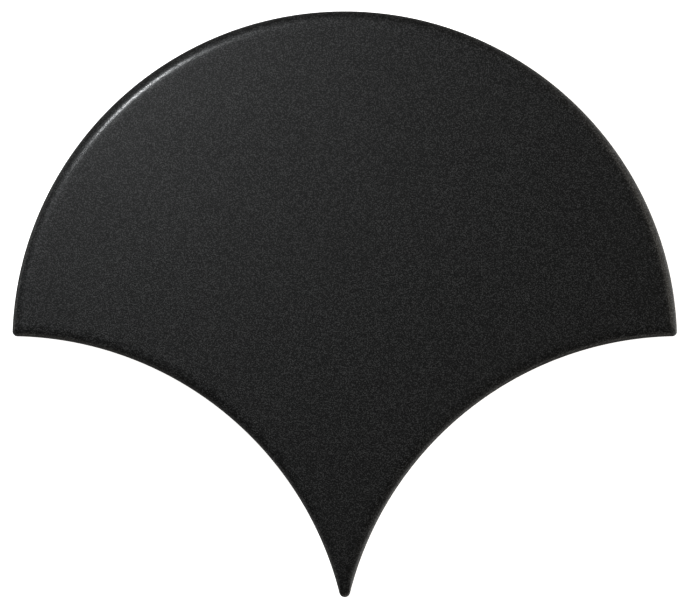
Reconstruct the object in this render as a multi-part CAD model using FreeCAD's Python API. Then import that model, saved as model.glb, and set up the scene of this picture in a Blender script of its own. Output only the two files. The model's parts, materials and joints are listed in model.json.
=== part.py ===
# Fish scale tile: one pressed and fired ceramic piece, lying on its keyed back.
#
# Seen from above it is a fan: a half-round head, two scallops cut out of its lower
# corners, and a pointed tail. Laid in courses, the head of each tile fits the scallops
# of the two tiles above it. The glazed face rolls over softly into upright sides.
# The back is a honeycomb of shallow cells, pressed in to give the adhesive a key.
#
# Frame: the origin is the centre of the head's arc, on the back plane.
# +Z is out of the glazed face, +Y points to the crown of the head, -Y to the tail.
# Millimetres throughout.

import FreeCAD
import Part

import math
import os

# Outline
tile_width = 120.0          # across the head's full circle
course_height = 60.0        # rise from one course of tiles to the next
grout_joint = 1.35          # between a head and the scallop that receives it
side_gap = 0.9              # between the side corners of two neighbours in a course
side_corner_radius = 0.9
tail_radius = 1.0

# Section
tile_thickness = 9.0
edge_roll_width = 2.8       # how far in from the outline the face begins to fall
edge_roll_drop = 1.9        # how far the face has fallen where it meets the side
edge_roll_fullness = 2.85   # 2 is an ellipse's shoulder, more is a squarer one
roll_sections = 17          # outlines that the rolled edge is drawn through
back_arris = 0.4            # small bevel round the back

# Keying on the back
key_border = 5.0            # plain band between the outline and the keyed field
key_depth = 0.7
key_pitch = 9.6             # from the middle of one cell to the middle of the next
rib_width = 1.8             # land left between two cells
key_flank = 0.35            # how far a cell's wall leans in over its depth
smallest_trimmed_cell = 0.15    # share of a whole cell below which a trimmed one is left out

# Places that follow from the sizes
head_radius = tile_width / 2
scallop_radius = head_radius + grout_joint
scallop_x = head_radius + side_gap / 2      # half the spacing of the tiles in a course
scallop_y = -course_height
roll_foot = tile_thickness - edge_roll_drop     # height where the side ends and the roll begins


def point_towards(centre, target, distance):
    """The point that far from centre, on the line from centre to target."""
    return centre + (target - centre).normalize() * distance


def arc(centre, radius, start, end, towards):
    """An arc about centre from start to end, which passes on the side of a given point."""
    return Part.Arc(start, point_towards(centre, towards, radius), end).toShape()


def mirrored(point):
    """The same point on the other side of the tile's centre line."""
    return FreeCAD.Vector(-point.x, point.y, point.z)


def side_corner_centre(inset, z):
    """Centre of the right-hand corner's rounding, which touches the head and the scallop."""
    from_head = head_radius - inset - side_corner_radius
    from_scallop = scallop_radius + inset + side_corner_radius
    spacing = math.hypot(scallop_x, scallop_y)
    along = (from_head ** 2 - from_scallop ** 2 + spacing ** 2) / (2 * spacing)
    across = math.sqrt(from_head ** 2 - along ** 2)
    to_scallop = FreeCAD.Vector(scallop_x, scallop_y, 0) / spacing
    outwards = FreeCAD.Vector(-to_scallop.y, to_scallop.x, 0)
    return to_scallop * along + outwards * across + FreeCAD.Vector(0, 0, z)


def tail_centre(inset, z):
    """Centre of the tail's rounding, which touches both scallops."""
    from_scallop = scallop_radius + inset + tail_radius
    return FreeCAD.Vector(0, scallop_y + math.sqrt(from_scallop ** 2 - scallop_x ** 2), z)


def outline(inset, z):
    """The fan outline at height z, drawn that far inside the tile's own outline."""
    head = FreeCAD.Vector(0, 0, z)
    scallop = FreeCAD.Vector(scallop_x, scallop_y, z)
    corner = side_corner_centre(inset, z)
    tail = tail_centre(inset, z)

    crown = head + FreeCAD.Vector(0, head_radius, 0)
    head_end = point_towards(head, corner, head_radius - inset)
    scallop_top = point_towards(scallop, corner, scallop_radius + inset)
    scallop_foot = point_towards(scallop, tail, scallop_radius + inset)
    corner_tip = (head_end + scallop_top) / 2
    scallop_middle = (scallop_top + scallop_foot) / 2
    tail_tip = tail - FreeCAD.Vector(0, tail_radius, 0)

    return Part.Wire([
        arc(head, head_radius - inset, mirrored(head_end), head_end, crown),
        arc(corner, side_corner_radius, head_end, scallop_top, corner_tip),
        arc(scallop, scallop_radius + inset, scallop_top, scallop_foot, scallop_middle),
        arc(tail, tail_radius, scallop_foot, mirrored(scallop_foot), tail_tip),
        arc(mirrored(scallop), scallop_radius + inset,
            mirrored(scallop_foot), mirrored(scallop_top), mirrored(scallop_middle)),
        arc(mirrored(corner), side_corner_radius,
            mirrored(scallop_top), mirrored(head_end), mirrored(corner_tip)),
    ])


def rolled_edge():
    """The upper part of the tile, whose rim falls in a quarter of a full-shouldered ellipse."""
    sections = []
    for step in range(roll_sections):
        angle = math.pi / 2 * step / (roll_sections - 1)
        inwards = 1 - math.cos(angle) ** (2 / edge_roll_fullness)
        upwards = math.sin(angle) ** (2 / edge_roll_fullness)
        sections.append(outline(edge_roll_width * inwards, roll_foot + edge_roll_drop * upwards))
    return Part.makeLoft(sections, True, False)


def blank():
    """The tile before its back is keyed."""
    bevel = Part.makeLoft([outline(back_arris, 0), outline(0, back_arris)], True, True)
    side = Part.Face(outline(0, back_arris)).extrude(
        FreeCAD.Vector(0, 0, roll_foot - back_arris))
    return bevel.fuse([side, rolled_edge()]).removeSplitter()


def honeycomb_centres():
    """Middles of the cells that can touch the tile, with three ribs meeting at the origin."""
    row_height = key_pitch * math.sqrt(3) / 2
    rows = math.ceil(head_radius / row_height)
    columns = math.ceil(head_radius / key_pitch)
    centres = []
    for row in range(-rows, rows + 1):
        shift = key_pitch / 2 if row % 2 else 0
        for column in range(-columns, columns + 1):
            centres.append(FreeCAD.Vector(column * key_pitch + shift,
                                          row * row_height + key_pitch / math.sqrt(3), 0))
    return centres


def hexagon(across_flats, z):
    """A hexagon about the Z axis, with a corner towards +Y."""
    reach = across_flats / math.sqrt(3)
    corners = []
    for index in range(6):
        angle = math.radians(90 + 60 * index)
        corners.append(FreeCAD.Vector(reach * math.cos(angle), reach * math.sin(angle), z))
    return Part.makePolygon(corners + corners[:1])


def key_cells():
    """The cells to press into the back, trimmed where they run into the plain border."""
    mouth = key_pitch - rib_width
    whole = Part.makeLoft([hexagon(mouth, 0), hexagon(mouth - 2 * key_flank, key_depth)],
                          True, True)
    field = Part.makeLoft([outline(key_border, 0),
                           outline(key_border + key_flank, key_depth)], True, True)
    trimmed = field.common([whole.translated(centre) for centre in honeycomb_centres()])
    return [cell for cell in trimmed.Solids
            if cell.Volume > smallest_trimmed_cell * whole.Volume]


def tile():
    """The whole tile."""
    return blank().cut(key_cells()).removeSplitter()


os.makedirs("parts", exist_ok=True)
piece = tile()
piece.exportStep("parts/tile.step")
size = piece.optimalBoundingBox(False, False)
print(f"tile {size.XLength:.2f} x {size.YLength:.2f} x {size.ZLength:.2f} mm, "
      f"{len(piece.Solids)} solid, {len(piece.Faces)} faces, valid {piece.isValid()}, "
      f"{piece.Volume / 1000:.2f} cm3")
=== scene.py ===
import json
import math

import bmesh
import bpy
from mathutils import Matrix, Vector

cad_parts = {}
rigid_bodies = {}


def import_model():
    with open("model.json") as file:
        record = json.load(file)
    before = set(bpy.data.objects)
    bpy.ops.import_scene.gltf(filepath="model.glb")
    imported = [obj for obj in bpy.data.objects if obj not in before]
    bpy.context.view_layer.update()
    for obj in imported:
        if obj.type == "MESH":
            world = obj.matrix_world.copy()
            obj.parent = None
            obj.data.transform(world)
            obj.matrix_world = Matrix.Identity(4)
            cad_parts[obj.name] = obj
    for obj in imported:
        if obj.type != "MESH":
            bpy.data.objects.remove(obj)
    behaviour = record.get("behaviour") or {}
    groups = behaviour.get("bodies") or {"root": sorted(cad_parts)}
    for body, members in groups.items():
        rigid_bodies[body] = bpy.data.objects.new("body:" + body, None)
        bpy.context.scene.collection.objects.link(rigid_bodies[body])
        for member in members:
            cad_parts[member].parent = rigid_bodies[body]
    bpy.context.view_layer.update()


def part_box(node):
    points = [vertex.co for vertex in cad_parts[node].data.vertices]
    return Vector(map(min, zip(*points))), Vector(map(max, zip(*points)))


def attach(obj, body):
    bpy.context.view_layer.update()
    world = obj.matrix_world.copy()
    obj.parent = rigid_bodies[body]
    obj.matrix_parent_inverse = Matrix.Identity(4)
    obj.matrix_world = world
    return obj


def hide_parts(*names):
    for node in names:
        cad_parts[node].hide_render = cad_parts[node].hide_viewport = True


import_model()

# %% [markdown]
# # A black fish scale tile
#
# The object is one pressed ceramic wall tile, glazed satin black on its face and sides.
# This lesson draws its outline by spinning a point round six arcs, bridges a stack of such
# outlines into the body, presses the keying into the back with a grid of punches, and then
# fires it: a fine-grained glaze above, bare biscuit below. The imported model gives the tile's
# place and thickness, the other sizes here repeat its own, and everything is in metres.

low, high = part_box("tile")

tile_width = 0.120
course_height = 0.060
grout_joint = 0.00135
side_gap = 0.0009
side_corner_radius = 0.0009
tail_radius = 0.001
edge_roll_width = 0.0028
edge_roll_drop = 0.0019
edge_roll_fullness = 2.85

head_radius = tile_width / 2
scallop_radius = head_radius + grout_joint
scallop = Vector((head_radius + side_gap / 2, -course_height, 0))
face_z = high.z
roll_foot = face_z - edge_roll_drop
print("packed tile, mm:", [round(1000 * side, 2) for side in high - low])

# %% [markdown]
# ## The outline
#
# The fan is six arcs that run into each other: the head, two small corners, two scallops
# and the tail. It could be a curve or a list of points, but spinning a single vertex round
# one centre after another gives exact arcs, and the same number of points on every ring,
# so that two rings bridge into clean four-sided faces. Each ring keeps the corners' small
# radius as it moves inwards, which is how a pressed edge dies into a sharp corner.

# %% Where the arcs turn, and by how much
def side_corner(inset):
    """Centre of the right corner's rounding on the outline drawn that far inwards."""
    from_head = head_radius - inset - side_corner_radius
    from_scallop = scallop_radius + inset + side_corner_radius
    along = (from_head ** 2 - from_scallop ** 2 + scallop.length_squared) / (2 * scallop.length)
    across = math.sqrt(from_head ** 2 - along ** 2)
    to_scallop = scallop.normalized()
    return to_scallop * along + Vector((-to_scallop.y, to_scallop.x, 0)) * across


def tail(inset):
    """Centre of the tail's rounding on the outline drawn that far inwards."""
    from_scallop = scallop_radius + inset + tail_radius
    return Vector((0, scallop.y + math.sqrt(from_scallop ** 2 - scallop.x ** 2), 0))


def bearing(start, end):
    """The direction from start to end, as an angle from +X."""
    return math.atan2(end.y - start.y, end.x - start.x)


def mirrored(point):
    """The same point on the other side of the tile."""
    return Vector((-point.x, point.y, point.z))


head_steps = 260
corner_steps = 10
scallop_steps = 96
tail_steps = 16


def arcs(inset):
    """Centre, sweep and steps of each arc, clockwise from the left end of the head."""
    corner = side_corner(inset)
    centre_to_corner = bearing(Vector(), corner)
    corner_to_scallop = bearing(corner, scallop)
    scallop_to_tail = bearing(scallop, tail(inset))
    corner_sweep = corner_to_scallop - centre_to_corner
    scallop_sweep = scallop_to_tail - corner_to_scallop - math.pi
    return [
        (Vector(), 2 * centre_to_corner - math.pi, head_steps),
        (corner, corner_sweep, corner_steps),
        (scallop, scallop_sweep, scallop_steps),
        (tail(inset), math.pi - 2 * scallop_to_tail, tail_steps),
        (mirrored(scallop), scallop_sweep, scallop_steps),
        (mirrored(corner), corner_sweep, corner_steps),
    ]


print("sweeps, degrees:", [round(math.degrees(sweep), 1) for _, sweep, _ in arcs(0)])


# %% [markdown]
# ## Rings, and solids through them
#
# A ring starts as a plane merged to one vertex, and each arc spins on from where the last
# one ended. Bridging fills the strip between two rings, and it pairs their vertices by
# distance. Where rings lie only microns apart, as near the flat face, it pairs them askew
# and folds the strip over. So the rings are drawn with a wide space between their heights,
# bridged and capped there, and each is then flattened to its own height. The faces stay
# paired as they were.

# %% Drawing one ring
seed_size = 0.001
seam = 0.00001


def draw_ring(name, inset, z):
    """A new object: the fan that far inside the outline at height z, as a closed ring of edges."""
    start = mirrored(side_corner(inset)).normalized() * (head_radius - inset)
    bpy.ops.object.select_all(action="DESELECT")
    bpy.ops.mesh.primitive_plane_add(size=seed_size)
    bpy.ops.object.mode_set(mode="EDIT")
    bpy.ops.mesh.merge(type="CENTER")
    bpy.ops.transform.translate(value=(start.x, start.y, z))
    for centre, sweep, steps in arcs(inset):
        bpy.ops.mesh.spin(steps=steps, angle=-sweep, center=(centre.x, centre.y, z),
                          axis=(0, 0, 1))
    bpy.ops.mesh.select_all(action="SELECT")
    bpy.ops.mesh.remove_doubles(threshold=seam)
    bpy.ops.object.vertex_group_assign_new()
    bpy.ops.object.mode_set(mode="OBJECT")
    ring = bpy.context.object
    ring.vertex_groups.active.name = name
    return ring


# %% Bridging a stack of rings
bridging_space = 0.01


def pick(*rings):
    """Selects the named rings in edit mode, and nothing else."""
    bpy.ops.mesh.select_all(action="DESELECT")
    for ring in rings:
        bpy.ops.object.vertex_group_set_active(group=ring)
        bpy.ops.object.vertex_group_select()


def stack(name, section):
    """A closed solid through rings of (name, inset, height), listed from top to bottom."""
    lifts = [bridging_space * (len(section) - index) for index in range(len(section))]
    rings = [draw_ring(ring, inset, z + lift) for (ring, inset, z), lift in zip(section, lifts)]
    for ring in rings:
        ring.select_set(True)
    bpy.context.view_layer.objects.active = rings[0]
    bpy.ops.object.join()
    solid = bpy.context.object
    solid.name = solid.data.name = name
    bpy.ops.object.mode_set(mode="EDIT")
    names = [ring for ring, _, _ in section]
    for upper, lower in zip(names, names[1:]):
        pick(upper, lower)
        bpy.ops.mesh.bridge_edge_loops()
    for end in (names[0], names[-1]):
        pick(end)
        bpy.ops.mesh.edge_face_add()
    bpy.ops.mesh.select_all(action="SELECT")
    bpy.ops.mesh.normals_make_consistent(inside=False)
    for ring, _, z in section:
        pick(ring)
        bpy.ops.transform.resize(value=(1, 1, 0), center_override=(0, 0, z))
    bpy.ops.object.mode_set(mode="OBJECT")
    return solid


# %% Measuring a piece
def measure(piece):
    """Prints a piece's size, its faces, and how many edges don't join exactly two faces."""
    shape = bmesh.new()
    shape.from_mesh(piece.data)
    open_edges = sum(len(edge.link_faces) != 2 for edge in shape.edges)
    print(piece.name, "mm:", [round(1000 * side, 2) for side in piece.dimensions],
          "faces:", len(shape.faces), "open edges:", open_edges,
          "volume cm3:", round(1e6 * shape.calc_volume(signed=True), 2))
    shape.free()


# %% [markdown]
# ## The body
#
# A tile is pressed from powder in a steel die, so its face rolls over softly into upright
# sides and its back has only a small arris. Each ring below is one height of that section.
# The roll is a quarter of an ellipse with a full shoulder: its sine and cosine are raised to
# a power, which squares the shoulder a little, and keeps it as smooth as a bevel never is.
# The glaze is sprayed from above and stops short of the back: it ends in a thin rounded
# lip, and below it the bare body stands a hair further in. A last ring a little way in on
# the face and on the back keeps the shading of both flat.

# %% Heights of the section
roll_rings = 18
rounding_rings = 4
flat_rim = 0.0006
glaze_line = 0.0024
glaze_coat = 0.00014
lip_height = 3 * glaze_coat
back_arris = 0.0004

quarter_turn = math.pi / 2
section = [("face", edge_roll_width + flat_rim, face_z)]
for step in range(roll_rings + 1):
    angle = quarter_turn * (1 - step / roll_rings)
    section.append((f"roll_{step:02d}",
                    edge_roll_width * (1 - math.cos(angle) ** (2 / edge_roll_fullness)),
                    roll_foot + edge_roll_drop * math.sin(angle) ** (2 / edge_roll_fullness)))
for step in range(rounding_rings):
    angle = quarter_turn * step / (rounding_rings - 1)
    section.append((f"lip_{step}", glaze_coat * (1 - math.cos(angle)),
                    glaze_line + lip_height * (1 - math.sin(angle))))
for step in range(rounding_rings):
    angle = quarter_turn * step / (rounding_rings - 1)
    section.append((f"arris_{step}",
                    glaze_coat + (back_arris - glaze_coat) * (1 - math.cos(angle)),
                    back_arris * (1 - math.sin(angle))))
section.append(("back", back_arris + flat_rim, 0))
for name, inset, z in section:
    print(f"{name:8s} inset {1000 * inset:5.2f} mm, height {1000 * z:5.2f} mm")

# %% The body, drawn ring by ring
body = stack("tile_body", section)
measure(body)

# %% [markdown]
# ## The keyed back
#
# The lower die carries a honeycomb of blunt hexagonal punches, which leave shallow cells
# for the adhesive to grip. Inset and extrude on the back itself would give such cells, but
# not ones that the plain border trims cleanly. So the cells are modelled the way they are
# made, by a punch. The sizes give its wall first: a flared mouth, a leaning flank and a
# filleted foot, as pairs of how far in and how far up.

# %% Sizes of the keying
key_border = 0.005
key_depth = 0.0007
key_pitch = 0.0096
rib_width = 0.0018
key_flank = 0.00035
lip_flare = 0.00012
floor_fillet = 0.0002
punch_length = 0.0002
punch_corner = 0.0006
corner_segments = 3
fillet_rings = 3
smallest_trimmed_cell = 0.15

row_height = key_pitch * math.sqrt(3) / 2
mouth = key_pitch - rib_width
wall = [(-lip_flare - punch_length, -punch_length), (0, lip_flare),
        (key_flank, key_depth - floor_fillet)]
for step in range(1, fillet_rings + 1):
    angle = quarter_turn * step / fillet_rings
    wall.append((key_flank + floor_fillet * (1 - math.cos(angle)),
                 key_depth - floor_fillet * (1 - math.sin(angle))))
print("cell wall, mm in and up:", [(round(1000 * a, 2), round(1000 * b, 2)) for a, b in wall])


# %% [markdown]
# ## One punch
#
# The punch starts as a six-sided disc just below the back, with its corners bevelled round,
# and is extruded up the wall one height at a time, scaled in as it goes. It could be a cone,
# but then the mouth couldn't flare nor the foot be rounded.

# %% The punch, extruded up its wall
def extrude_to(inset, z, last_inset, last_z):
    """Draws the selected face of the punch up to its next height and in to its next size."""
    half = mouth / 2
    scale = (half - inset) / (half - last_inset)
    bpy.ops.mesh.extrude_region_move(TRANSFORM_OT_translate={"value": (0, 0, z - last_z)})
    bpy.ops.transform.resize(value=(scale, scale, 1))


bpy.ops.object.select_all(action="DESELECT")
bpy.ops.mesh.primitive_circle_add(vertices=6, fill_type="NGON",
                                  radius=(mouth / 2 - wall[0][0]) / math.cos(math.pi / 6),
                                  location=(0, 0, wall[0][1]))
punch = bpy.context.object
punch.name = "punch"
bpy.ops.object.transform_apply(location=True)
bpy.ops.object.mode_set(mode="EDIT")
bpy.ops.mesh.bevel(affect="VERTICES", offset=punch_corner, segments=corner_segments)
for (last_inset, last_z), (inset, z) in zip(wall, wall[1:]):
    extrude_to(inset, z, last_inset, last_z)
extrude_to(wall[-1][0] + floor_fillet, key_depth, *wall[-1])
bpy.ops.mesh.select_all(action="SELECT")
bpy.ops.mesh.normals_make_consistent(inside=False)
bpy.ops.object.mode_set(mode="OBJECT")
measure(punch)


# %% The volume of one whole cell
def volume(piece):
    """The volume that a closed mesh encloses."""
    shape = bmesh.new()
    shape.from_mesh(piece.data)
    amount = shape.calc_volume()
    shape.free()
    return amount


whole_cell = volume(punch)
print("one cell, mm3:", round(1e9 * whole_cell, 1))


# %% [markdown]
# ## The honeycomb
#
# Two arrays repeat a pair of punches over the whole tile. A second solid, the field, is a
# smaller fan with the same leaning wall, and the common part of the two is the honeycomb
# with its border cells trimmed. What is left of a cell below a seventh or so is a sliver
# that a toolmaker would leave off the die, so it is deleted. The Manifold solver suits
# closed solids like these: the body stays closed, where the Exact one left stray edges
# round the border cells.

# %% Modifiers, and tools that are thrown away
def apply_modifier(piece, kind, **settings):
    """Adds a modifier to a piece, sets it and applies it."""
    bpy.ops.object.select_all(action="DESELECT")
    piece.select_set(True)
    bpy.context.view_layer.objects.active = piece
    bpy.ops.object.modifier_add(type=kind)
    modifier = piece.modifiers[-1]
    for setting, value in settings.items():
        setattr(modifier, setting, value)
    bpy.ops.object.modifier_apply(modifier=modifier.name)


def drop(piece):
    """Deletes an object that was only a tool."""
    bpy.ops.object.select_all(action="DESELECT")
    piece.select_set(True)
    bpy.ops.object.delete()


# %% Repeating the punch
columns = 2 * math.ceil(head_radius / key_pitch) - 1
row_pairs = math.ceil((high.y - low.y) / row_height / 2)
corner_cell = Vector((-(columns // 2) * key_pitch,
                      key_pitch / math.sqrt(3) - 2 * (row_pairs // 2) * row_height, 0))
bpy.ops.object.mode_set(mode="EDIT")
bpy.ops.mesh.select_all(action="SELECT")
bpy.ops.transform.translate(value=corner_cell)
bpy.ops.mesh.duplicate_move(TRANSFORM_OT_translate={"value": (key_pitch / 2, row_height, 0)})
bpy.ops.object.mode_set(mode="OBJECT")
apply_modifier(punch, "ARRAY", count=columns, use_relative_offset=False,
               use_constant_offset=True, constant_offset_displace=(key_pitch, 0, 0))
apply_modifier(punch, "ARRAY", count=row_pairs, use_relative_offset=False,
               use_constant_offset=True, constant_offset_displace=(0, 2 * row_height, 0))
print("punches:", 2 * columns * row_pairs)

# %% Trimming the punches to their field
field_wall = wall[:-1] + [(wall[-1][0] + floor_fillet, key_depth + floor_fillet)]
field = stack("field", [(f"field_{index}", key_border + inset, z)
                        for index, (inset, z) in reversed(list(enumerate(field_wall)))])
field.vertex_groups.clear()
apply_modifier(punch, "BOOLEAN", operation="INTERSECT", object=field, solver="MANIFOLD")
drop(field)
measure(punch)

# %% Leaving out the slivers
bpy.ops.object.select_all(action="DESELECT")
punch.select_set(True)
bpy.context.view_layer.objects.active = punch
bpy.ops.object.mode_set(mode="EDIT")
bpy.ops.mesh.select_all(action="SELECT")
bpy.ops.mesh.separate(type="LOOSE")
bpy.ops.object.mode_set(mode="OBJECT")
cells = [piece for piece in bpy.context.scene.objects if piece.name.startswith("punch")]
kept = [cell for cell in cells if volume(cell) > smallest_trimmed_cell * whole_cell]
for sliver in [cell for cell in cells if cell not in kept]:
    drop(sliver)
print("cells:", len(kept), "of", len(cells))

# %% [markdown]
# ## Pressing the cells in
#
# The cells that are kept become one object again, and it is subtracted from the body. One
# subtraction is quicker than seventy, and leaves the plain border and the ribs between the
# cells in one flat plane, which is what the tile lies on.

# %% Pressing the cells into the back
bpy.ops.object.select_all(action="DESELECT")
for cell in kept:
    cell.select_set(True)
bpy.context.view_layer.objects.active = kept[0]
bpy.ops.object.join()
honeycomb = bpy.context.object
honeycomb.name = "honeycomb"
apply_modifier(body, "BOOLEAN", operation="DIFFERENCE", object=honeycomb, solver="MANIFOLD")
drop(honeycomb)
measure(body)

# %% [markdown]
# ## Node helpers
#
# A finish is a tree of nodes, which could be clicked together by hand. In code, a handful of
# short helpers keep the same few steps readable: a noise of a real size, a value spread
# onto another range, a blend of two colours, and a bump of a real depth.

# %% Sockets, noises and blends
def socket(node, name):
    """The socket of that name, where a node has several that are hidden or of other types."""
    return next(one for one in node if one.name == name and one.enabled)


def noise(tree, vector, size, detail):
    """A noise whose features measure about the given size in metres."""
    node = tree.nodes.new("ShaderNodeTexNoise")
    node.inputs["Scale"].default_value = 1 / size
    node.inputs["Detail"].default_value = detail
    tree.links.new(vector, node.inputs["Vector"])
    return node


def spread(tree, value, start, end, to_start, to_end):
    """Maps a value's range onto another, clamped at both ends."""
    node = tree.nodes.new("ShaderNodeMapRange")
    for name, number in (("From Min", start), ("From Max", end),
                         ("To Min", to_start), ("To Max", to_end)):
        node.inputs[name].default_value = number
    tree.links.new(value, node.inputs["Value"])
    return node.outputs["Result"]


def blend(tree, factor, first, second):
    """Mixes two colours, or a colour socket and a colour, by a factor."""
    node = tree.nodes.new("ShaderNodeMix")
    node.data_type = "RGBA"
    tree.links.new(factor, node.inputs["Factor"])
    for name, colour in (("A", first), ("B", second)):
        port = socket(node.inputs, name)
        if isinstance(colour, tuple):
            port.default_value = (*colour, 1)
        else:
            tree.links.new(colour, port)
    return socket(node.outputs, "Result")


# %% Materials and bumps
def material(name):
    """A new material with its shader, and its object coordinates."""
    made = bpy.data.materials.new(name)
    made.use_nodes = True
    tree = made.node_tree
    shader = tree.nodes["Principled BSDF"]
    place = tree.nodes.new("ShaderNodeTexCoord").outputs["Object"]
    return made, tree, shader, place


def bump(tree, shader, height, depth):
    """Raises the surface by a height that reaches the given depth in metres."""
    node = tree.nodes.new("ShaderNodeBump")
    node.inputs["Strength"].default_value = 1.0
    node.inputs["Distance"].default_value = depth
    tree.links.new(height, node.inputs["Height"])
    tree.links.new(node.outputs["Normal"], shader.inputs["Normal"])


# %% [markdown]
# ## Fired grain
#
# The glaze and the biscuit are both fired clay underneath, so they share one grain. It is a
# node group, built once and placed in each material with its own sizes. It puts out three
# values: a fine grain for bumps, clouds for slow changes of tone, and specks, which are the
# grain made crisper with a pattern of cells, for fine dots of colour. Each material could
# have its own noises, but then a change of the grain would have to be made twice. The
# shader, and what depends on the angle of view, stay in each material.

# %% The fired grain, shared by glaze and biscuit
speck_crispness = 0.25

grain = bpy.data.node_groups.new("fired grain", "ShaderNodeTree")
for name, size in (("Grain Size", 0.0003), ("Cloud Size", 0.01)):
    grain.interface.new_socket(name, in_out="INPUT",
                               socket_type="NodeSocketFloat").default_value = size
for name in ("Grain", "Clouds", "Specks"):
    grain.interface.new_socket(name, in_out="OUTPUT", socket_type="NodeSocketFloat")
grain_in = grain.nodes.new("NodeGroupInput")
grain_out = grain.nodes.new("NodeGroupOutput")
grain_place = grain.nodes.new("ShaderNodeTexCoord").outputs["Object"]
for size, output, detail in (("Grain Size", "Grain", 1.0), ("Cloud Size", "Clouds", 4.0)):
    divide = grain.nodes.new("ShaderNodeMath")
    divide.operation = "DIVIDE"
    divide.inputs[0].default_value = 1.0
    grain.links.new(grain_in.outputs[size], divide.inputs[1])
    texture = noise(grain, grain_place, 1, detail)
    grain.links.new(divide.outputs[0], texture.inputs["Scale"])
    grain.links.new(texture.outputs["Fac"], grain_out.inputs[output])
    if output == "Grain":
        crystals = grain.nodes.new("ShaderNodeTexVoronoi")
        grain.links.new(grain_place, crystals.inputs["Vector"])
        grain.links.new(divide.outputs[0], crystals.inputs["Scale"])
        shade = grain.nodes.new("ShaderNodeSeparateColor")
        grain.links.new(crystals.outputs["Color"], shade.inputs["Color"])
        scatter = grain.nodes.new("ShaderNodeMath")
        scatter.operation = "MULTIPLY_ADD"
        grain.links.new(shade.outputs["Red"], scatter.inputs[0])
        scatter.inputs[1].default_value = speck_crispness
        grain.links.new(texture.outputs["Fac"], scatter.inputs[2])
        grain.links.new(scatter.outputs[0], grain_out.inputs["Specks"])
print("fired grain:", len(grain.nodes), "nodes")


# %% Placing the grain in a material
def fired_grain(tree, grain_size, cloud_size):
    """The shared grain placed in a material, with its own sizes."""
    node = tree.nodes.new("ShaderNodeGroup")
    node.node_tree = grain
    node.inputs["Grain Size"].default_value = grain_size
    node.inputs["Cloud Size"].default_value = cloud_size
    return node.outputs["Grain"], node.outputs["Clouds"], node.outputs["Specks"]


# %% [markdown]
# ## Satin black glaze
#
# The real glaze is nearly black, with fine grey specks and a tooth that scatters a soft
# light over a wide haze, and a harder skin that still gathers it into a line along the
# rolled edge. One lobe of gloss can be wide or narrow but not both, so the base carries the
# haze and a thin coat carries the line. The tooth breaks up both: it bumps the base and it
# thins the coat.

# %% The glaze
pure_black = (0.0, 0.0, 0.0)
speck_grey = (0.047, 0.047, 0.047)
tooth_depth = 0.00005

glaze, tree, shader, place = material("satin black glaze")
tooth, clouds, specks = fired_grain(tree, 0.00021, 0.014)
black = blend(tree, spread(tree, specks, 0.62, 0.81, 0, 1), pure_black, speck_grey)
tree.links.new(black, shader.inputs["Base Color"])
tree.links.new(spread(tree, clouds, 0.3, 0.7, 0.54, 0.57), shader.inputs["Roughness"])
shader.inputs["Specular IOR Level"].default_value = 0.26
tree.links.new(spread(tree, tooth, 0.35, 0.65, 0.08, 0.6), shader.inputs["Coat Weight"])
shader.inputs["Coat Roughness"].default_value = 0.235
bump(tree, shader, tooth, tooth_depth)
print("glaze:", len(tree.nodes), "nodes")

# %% [markdown]
# ## Bare biscuit
#
# Below the glaze line the body shows: pale, dry, finely porous clay. It takes a thin
# spatter of glaze near the line, so the mask that darkens it fades with the height above
# the back. Plain noise could make the spatter, but then it would reach the back too.

# %% The biscuit
pale_clay = (0.62, 0.545, 0.435)
warm_clay = (0.53, 0.45, 0.345)
pore_brown = (0.33, 0.27, 0.2)
spattered_glaze = (0.02, 0.02, 0.02)
spatter_foot = 0.0008
pore_depth = 0.00006

biscuit, tree, shader, place = material("fired biscuit")
pores, clouds, _ = fired_grain(tree, 0.00022, 0.009)
clay = blend(tree, spread(tree, clouds, 0.3, 0.7, 0, 1), warm_clay, pale_clay)
clay = blend(tree, spread(tree, pores, 0.32, 0.44, 0.55, 0), clay, pore_brown)
position = tree.nodes.new("ShaderNodeSeparateXYZ")
tree.links.new(place, position.inputs["Vector"])
spatter = noise(tree, place, 0.0004, 2)
splashes = tree.nodes.new("ShaderNodeMath")
splashes.operation = "MULTIPLY"
near_line = spread(tree, position.outputs["Z"], spatter_foot, glaze_line, 0, 1)
tree.links.new(near_line, splashes.inputs[0])
tree.links.new(spread(tree, spatter.outputs["Fac"], 0.5, 0.62, 0, 1), splashes.inputs[1])
clay = blend(tree, splashes.outputs[0], clay, spattered_glaze)
tree.links.new(clay, shader.inputs["Base Color"])
tree.links.new(spread(tree, pores, 0.3, 0.7, 0.95, 0.8), shader.inputs["Roughness"])
bump(tree, shader, pores, pore_depth)
print("biscuit:", len(tree.nodes), "nodes")

# %% [markdown]
# ## Glazing the body
#
# Spray reaches the face and the sides down to the glaze line, and nothing below it. Each
# face of the mesh is either glazed or bare, by the height of its middle. A mask in one
# material could do this too, but two materials keep a hard border where the lip ends. The
# border would be a ruled line, though, so the lip's rings are then moved up and down a
# little by a cloudy texture, as glaze runs.

# %% Which faces are glazed
body.data.materials.clear()
body.data.materials.append(glaze)
body.data.materials.append(biscuit)
for face in body.data.polygons:
    face.material_index = 0 if face.center.z > glaze_line else 1
print("glazed faces:", sum(face.material_index == 0 for face in body.data.polygons))

# %% The glaze line wanders
run_length = 0.007
run_height = 0.0018
lip_top = glaze_line + lip_height
margin = 0.000001
crease = math.radians(35)

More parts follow.
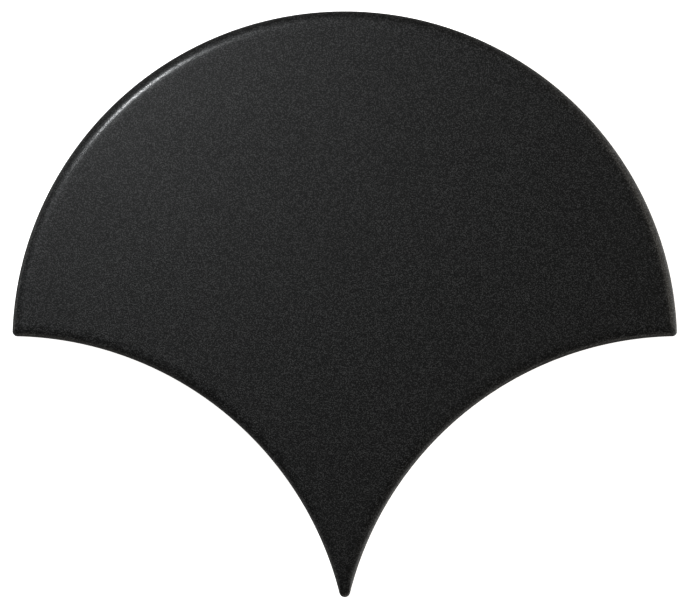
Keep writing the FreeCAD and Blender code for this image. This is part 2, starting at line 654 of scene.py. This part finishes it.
lip = body.vertex_groups.new(name="lip")
lip.add([vertex.index for vertex in body.data.vertices
         if glaze_line - margin < vertex.co.z < lip_top + margin], 1, "REPLACE")
run = bpy.data.textures.new("glaze run", "CLOUDS")
run.noise_scale = run_length
run.noise_depth = 2
apply_modifier(body, "DISPLACE", texture=run, texture_coords="LOCAL", direction="Z",
               vertex_group="lip", mid_level=0.5, strength=run_height)
body.vertex_groups.clear()
bpy.ops.object.shade_smooth_by_angle(angle=crease)
measure(body)

# %% [markdown]
# ## The camera
#
# The photograph looks straight down on the tile with a long lens, so that hardly any side
# shows. The lens follows from the height of the camera and the width that the picture takes
# in where the tile is widest, at the foot of the roll.

# %% The camera, looking straight down as in the photograph
camera_height = 1.2
picture_width = 0.1245
picture_middle = (0.00005, 0.007)
sensor_mm = 36

bpy.ops.object.camera_add(location=(*picture_middle, camera_height), rotation=(0, 0, 0))
camera = bpy.context.object
camera.data.sensor_width = sensor_mm
camera.data.lens = sensor_mm * (camera_height - roll_foot) / picture_width
camera.data.clip_end = 20
bpy.context.scene.camera = camera
print("lens mm:", round(camera.data.lens, 1))

# %% [markdown]
# ## The floor
#
# The photograph's ground is plain white with no shadow, as in a catalogue. A lit sheet of
# paper under a lamp would show one, and would brighten the rolled edge from below, so this
# sheet glows by itself and neither lights the tile nor takes its shadow. It lies a hair
# below the back, and it is clear from underneath, so that the back can be looked at.

# %% The floor, clear from below
floor_size = 8
floor_gap = 0.0001
paper_white = (0.9, 0.9, 0.9)
paper_shade = (0.86, 0.86, 0.86)
glow = 1.0

bpy.ops.mesh.primitive_plane_add(size=floor_size, location=(0, 0, -floor_gap))
floor = bpy.context.object
floor.name = "floor"
paper, tree, shader, place = material("white paper")
fibre = noise(tree, place, 0.002, 3)
tree.links.new(blend(tree, fibre.outputs["Fac"], paper_shade, paper_white),
               shader.inputs["Base Color"])
shader.inputs["Roughness"].default_value = 0.9
shader.inputs["Emission Color"].default_value = (1, 1, 1, 1)
shader.inputs["Emission Strength"].default_value = glow
side = tree.nodes.new("ShaderNodeNewGeometry")
tree.links.new(spread(tree, side.outputs["Backfacing"], 0, 1, 1, 0), shader.inputs["Alpha"])
floor.data.materials.append(paper)
floor.visible_glossy = False
floor.visible_diffuse = False
floor.visible_shadow = False
print("floor, mm below the back:", 1000 * floor_gap)


# %% [markdown]
# ## The lights
#
# The key is a small softbox close to the upper left: near enough to leave the far side of
# the tile darker, and small enough to draw a bright line along the rolled edge. A large
# card on the right and two low ones, on the left and in front, give the faint pale rims.
# One big softbox would be simpler, but it would light the face evenly, and in the photograph
# it darkens away from the key. The key is a little cooler than the cards on the right and
# in front.

# %% A softbox, aimed at a place on the face
cool = (0.95, 0.98, 1.0)
warm = (1.0, 0.945, 0.85)


def softbox(name, azimuth, elevation, distance, aim, size, watts, colour):
    """A soft oval light in that direction and that far from a place on the face, facing it."""
    across = math.radians(azimuth)
    up = math.radians(elevation)
    way = Vector((math.cos(up) * math.cos(across), math.cos(up) * math.sin(across),
                  math.sin(up)))
    bpy.ops.object.light_add(type="AREA", location=Vector((*aim, face_z)) + way * distance,
                             rotation=way.to_track_quat("Z", "Y").to_euler())
    light = bpy.context.object
    light.name = name
    light.data.shape = "ELLIPSE"
    light.data.size, light.data.size_y = size
    light.data.energy = watts
    light.data.color = colour
    print(name, "at", [round(part, 3) for part in light.location])


# %% The key and the three cards
softbox("key", azimuth=132, elevation=69.5, distance=0.2, aim=(-0.0352, 0.0467),
        size=(0.03, 0.03), watts=0.29, colour=cool)
softbox("right card", azimuth=17, elevation=33, distance=0.4, aim=(0.055, 0.01),
        size=(0.32, 0.34), watts=0.49, colour=warm)
softbox("left card", azimuth=165, elevation=4, distance=0.4, aim=(-0.055, 0.01),
        size=(0.24, 0.06), watts=0.1, colour=cool)
softbox("front card", azimuth=-83, elevation=8, distance=0.4, aim=(0, -0.03),
        size=(0.6, 0.1), watts=0.25, colour=warm)

# %% [markdown]
# ## The room
#
# The room is dark above, so that the flat face stays black, and pale low down at its left
# and right ends, which is what the steep part of the rolled edge reflects. The whole world
# could have one grey, but that would lift the face along with the rims. Here a ramp across
# the room sets how bright the walls are, and they fade out with height.

# %% The room, dark above and pale at its ends
wall_light = ((0.02, 0.75), (0.2, 0.24), (0.7, 0.24), (0.97, 2.0))
fade_from, fade_to = -0.1, 0.4
wall_colour = (1, 0.99, 0.96, 1)

world = bpy.data.worlds.new("dark room")
world.use_nodes = True
tree = world.node_tree
direction = tree.nodes.new("ShaderNodeSeparateXYZ")
tree.links.new(tree.nodes.new("ShaderNodeTexCoord").outputs["Generated"],
               direction.inputs["Vector"])
walls = tree.nodes.new("ShaderNodeValToRGB")
tree.links.new(spread(tree, direction.outputs["X"], -1, 1, 0, 1), walls.inputs["Fac"])
stops = walls.color_ramp.elements
for index, (across, brightness) in enumerate(wall_light):
    stop = stops[index] if index < 2 else stops.new(across)
    stop.position = across
    stop.color = (brightness, brightness, brightness, 1)
fade = tree.nodes.new("ShaderNodeMath")
fade.operation = "MULTIPLY"
tree.links.new(walls.outputs["Color"], fade.inputs[0])
tree.links.new(spread(tree, direction.outputs["Z"], fade_from, fade_to, 1, 0), fade.inputs[1])
tree.links.new(fade.outputs[0], tree.nodes["Background"].inputs["Strength"])
tree.nodes["Background"].inputs["Color"].default_value = wall_colour
bpy.context.scene.world = world
bpy.context.scene.view_settings.view_transform = "Standard"
print("room:", len(tree.nodes), "nodes")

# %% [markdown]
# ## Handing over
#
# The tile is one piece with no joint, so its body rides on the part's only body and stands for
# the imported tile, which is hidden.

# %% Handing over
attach(body, "root")
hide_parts("tile")
